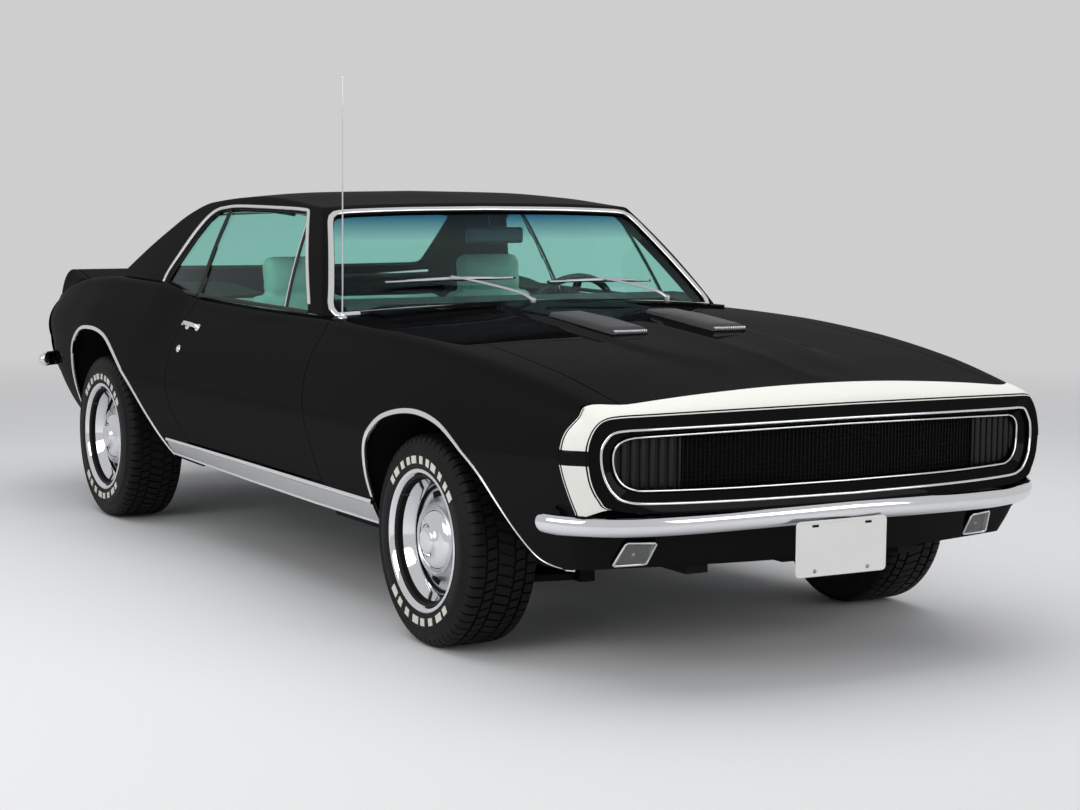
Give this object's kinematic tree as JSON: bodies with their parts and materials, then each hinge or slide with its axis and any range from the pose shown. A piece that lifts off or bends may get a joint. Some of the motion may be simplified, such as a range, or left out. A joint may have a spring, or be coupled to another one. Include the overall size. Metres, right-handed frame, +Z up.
{
  "type": "muscle car",
  "caption": "Two-door hardtop muscle car with a steering front axle, free wheels, and opening doors, hood and trunk lid.",
  "frame": {"origin": "on the ground, midway between the bumpers, on the car's centre plane", "axes": "+X to the car's left, -Y towards its front, +Z up"},
  "size_m": [1.8148, 4.69, 1.664],
  "materials": {
    "body_paint": "deep gloss",
    "nose_paint": "deep gloss",
    "bright_trim": "polished",
    "tinted_glass": "clear",
    "lamp_lens": "ribbed",
    "tail_lens": "glossy",
    "grille_black": "satin",
    "tyre_rubber": "matte",
    "wheel_metal": "satin",
    "underbody": "satin",
    "bare_steel": "dull",
    "engine_paint": "painted",
    "seat_cover": "satin",
    "cabin_black": "grained",
    "spoiler_black": "gloss"
  },
  "bodies": {
    "shell": {"antenna": "bright_trim", "cowl": "body_paint", "dashboard": "cabin_black", "driveline": "bare_steel", "engine_block": "engine_paint", "exhaust": "bare_steel", "fender_left": "body_paint", "fender_right": "body_paint", "floor_pan": "underbody", "front_bumper": "bright_trim", "front_lamps": "lamp_lens", "front_seats": "seat_cover", "front_subframe": "underbody", "fuel_tank": "bare_steel", "grille": "grille_black", "nose_panel": "nose_paint", "quarter_glass": "tinted_glass", "quarter_left": "body_paint", "quarter_right": "body_paint", "rear_axle": "bare_steel", "rear_bumper": "bright_trim", "rear_lamps": "tail_lens", "rear_seat": "seat_cover", "rear_window": "tinted_glass", "roof": "body_paint", "tail_panel": "body_paint", "windshield": "tinted_glass", "wipers": "bright_trim"},
    "wheel_front_left": {"tyre_front_left": "tyre_rubber", "rim_front_left": "wheel_metal"},
    "wheel_front_right": {"tyre_front_right": "tyre_rubber", "rim_front_right": "wheel_metal"},
    "wheel_rear_left": {"tyre_rear_left": "tyre_rubber", "rim_rear_left": "wheel_metal"},
    "wheel_rear_right": {"tyre_rear_right": "tyre_rubber", "rim_rear_right": "wheel_metal"},
    "left_knuckle": {"knuckle_left": "bare_steel"},
    "right_knuckle": {"knuckle_right": "bare_steel"},
    "bonnet": {"hood": "body_paint", "hood_vents": "grille_black"},
    "boot_lid": {"trunk_lid": "body_paint", "spoiler": "spoiler_black"},
    "left_door": {"door_left": "body_paint", "door_glass_left": "tinted_glass"},
    "right_door": {"door_right": "body_paint", "door_glass_right": "tinted_glass"},
    "helm": {"steering_wheel": "cabin_black"}
  },
  "joints": [
    {"name": "steer_left", "type": "hinge", "parent": "shell", "child": "left_knuckle", "pos_m": [0.68, -1.415, 0.308], "axis": [0, 0, 1], "range_deg": [-30, 30]},
    {"name": "steer_right", "type": "hinge", "parent": "shell", "child": "right_knuckle", "pos_m": [-0.68, -1.415, 0.308], "axis": [0, 0, 1], "range_deg": [-30, 30]},
    {"name": "steering_wheel_turn", "type": "hinge", "parent": "shell", "child": "helm", "pos_m": [0.365, -0.176, 0.829], "axis": [0, 0.8829, 0.4695], "range_deg": [-480, 480]},
    {"name": "roll_front_left", "type": "hinge", "parent": "left_knuckle", "child": "wheel_front_left", "pos_m": [0.74, -1.415, 0.308], "axis": [1, 0, 0], "continuous": true},
    {"name": "roll_front_right", "type": "hinge", "parent": "right_knuckle", "child": "wheel_front_right", "pos_m": [-0.74, -1.415, 0.308], "axis": [1, 0, 0], "continuous": true},
    {"name": "roll_rear_left", "type": "hinge", "parent": "shell", "child": "wheel_rear_left", "pos_m": [0.74, 1.331, 0.316], "axis": [1, 0, 0], "continuous": true},
    {"name": "roll_rear_right", "type": "hinge", "parent": "shell", "child": "wheel_rear_right", "pos_m": [-0.74, 1.331, 0.316], "axis": [1, 0, 0], "continuous": true},
    {"name": "hood_open", "type": "hinge", "parent": "shell", "child": "bonnet", "pos_m": [0, -0.767, 0.937], "axis": [-1, 0, 0], "range_deg": [0, 50]},
    {"name": "trunk_open", "type": "hinge", "parent": "shell", "child": "boot_lid", "pos_m": [0, 1.595, 0.93], "axis": [1, 0, 0], "range_deg": [0, 65]},
    {"name": "door_left_open", "type": "hinge", "parent": "shell", "child": "left_door", "pos_m": [0.892, -0.673, 0.6], "axis": [0, 0, -1], "range_deg": [0, 65]},
    {"name": "door_right_open", "type": "hinge", "parent": "shell", "child": "right_door", "pos_m": [-0.892, -0.673, 0.6], "axis": [0, 0, 1], "range_deg": [0, 65]}
  ],
  "couplings": [
    {"joint": "steer_right", "follows": "steer_left", "ratio": 1},
    {"joint": "steering_wheel_turn", "follows": "steer_left", "ratio": 16}
  ]
}
